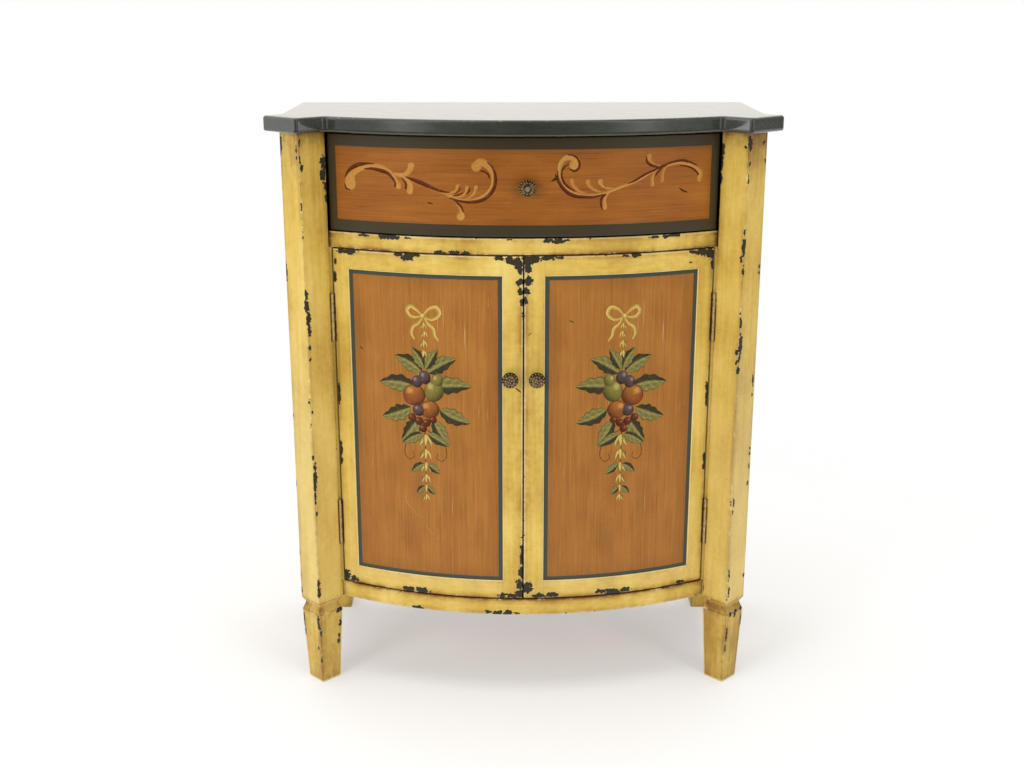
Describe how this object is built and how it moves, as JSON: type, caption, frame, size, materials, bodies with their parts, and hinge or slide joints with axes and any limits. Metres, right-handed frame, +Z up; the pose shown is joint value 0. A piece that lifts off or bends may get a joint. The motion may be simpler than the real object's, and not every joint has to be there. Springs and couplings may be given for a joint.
{
  "type": "demilune cabinet",
  "caption": "Half-round painted cabinet: a bowed drawer over a pair of bowed, panelled doors between cornerwise posts on tapered feet, with an overhanging shaped top.",
  "frame": {"origin": "on the floor, under the middle of the top's bounding box", "axes": "+Z up, the bowed front faces -Y, +X to the right as seen from the front"},
  "size_m": [0.7456, 0.389, 0.889],
  "materials": {
    "cream_paint": "mustard-cream paint with brown glaze, chipped to a dark undercoat at the edges",
    "dark_top_paint": "dark grey-green paint under a glossy varnish",
    "stained_wood": "orange-brown stained veneer, satin varnish, painted dark border and festoon",
    "drawer_paint": "orange-brown stained veneer in a dark green painted band, with painted scrolls",
    "carcass_board": "stained board",
    "drawer_board": "plain sanded wood",
    "plywood": "plain plywood",
    "antique_brass": "antiqued, dark in its hollows",
    "steel": "zinc plated",
    "catch_plastic": "moulded"
  },
  "bodies": {
    "cabinet": {"top": "dark_top_paint", "apron": "cream_paint", "drawer_rail": "cream_paint", "bottom_board": "carcass_board", "shelf": "carcass_board", "back_panel": "plywood", "back_top_rail": "carcass_board", "back_middle_rail": "carcass_board", "front_leg_left": "cream_paint", "rear_leg_left": "cream_paint", "side_panel_left": "cream_paint", "door_jamb_left": "cream_paint", "drawer_runner_left": "drawer_board", "shelf_pin_front_left": "steel", "shelf_pin_rear_left": "steel", "left_catch": "catch_plastic", "left_upper_hinge_frame_leaf": "antique_brass", "left_upper_hinge_pin": "antique_brass", "left_lower_hinge_frame_leaf": "antique_brass", "left_lower_hinge_pin": "antique_brass", "front_leg_right": "cream_paint", "rear_leg_right": "cream_paint", "side_panel_right": "cream_paint", "door_jamb_right": "cream_paint", "drawer_runner_right": "drawer_board", "shelf_pin_front_right": "steel", "shelf_pin_rear_right": "steel", "right_catch": "catch_plastic", "right_upper_hinge_frame_leaf": "antique_brass", "right_upper_hinge_pin": "antique_brass", "right_lower_hinge_frame_leaf": "antique_brass", "right_lower_hinge_pin": "antique_brass"},
    "drawer": {"drawer_front": "drawer_paint", "drawer_side_left": "drawer_board", "drawer_side_right": "drawer_board", "drawer_back": "drawer_board", "drawer_bottom": "plywood", "drawer_knob": "antique_brass", "drawer_knob_screw": "steel"},
    "left_door": {"left_door_hinge_stile": "cream_paint", "left_door_meeting_stile": "cream_paint", "left_door_top_rail": "cream_paint", "left_door_bottom_rail": "cream_paint", "left_door_panel": "stained_wood", "left_door_knob": "antique_brass", "left_door_knob_screw": "steel", "left_upper_hinge_door_leaf": "antique_brass", "left_lower_hinge_door_leaf": "antique_brass", "left_strike_plate": "steel"},
    "right_door": {"right_door_hinge_stile": "cream_paint", "right_door_meeting_stile": "cream_paint", "right_door_top_rail": "cream_paint", "right_door_bottom_rail": "cream_paint", "right_door_panel": "stained_wood", "right_door_knob": "antique_brass", "right_door_knob_screw": "steel", "right_upper_hinge_door_leaf": "antique_brass", "right_lower_hinge_door_leaf": "antique_brass", "right_strike_plate": "steel"}
  },
  "joints": [
    {"name": "drawer_slide", "type": "slide", "parent": "cabinet", "child": "drawer", "axis": [0, -1, 0], "range_m": [0, 0.19]},
    {"name": "left_door_hinge", "type": "hinge", "parent": "cabinet", "child": "left_door", "pos_m": [-0.28431, -0.09342, 0.1655], "axis": [0, 0, -1], "range_deg": [0, 100]},
    {"name": "right_door_hinge", "type": "hinge", "parent": "cabinet", "child": "right_door", "pos_m": [0.28431, -0.09342, 0.1655], "axis": [0, 0, 1], "range_deg": [0, 100]}
  ]
}
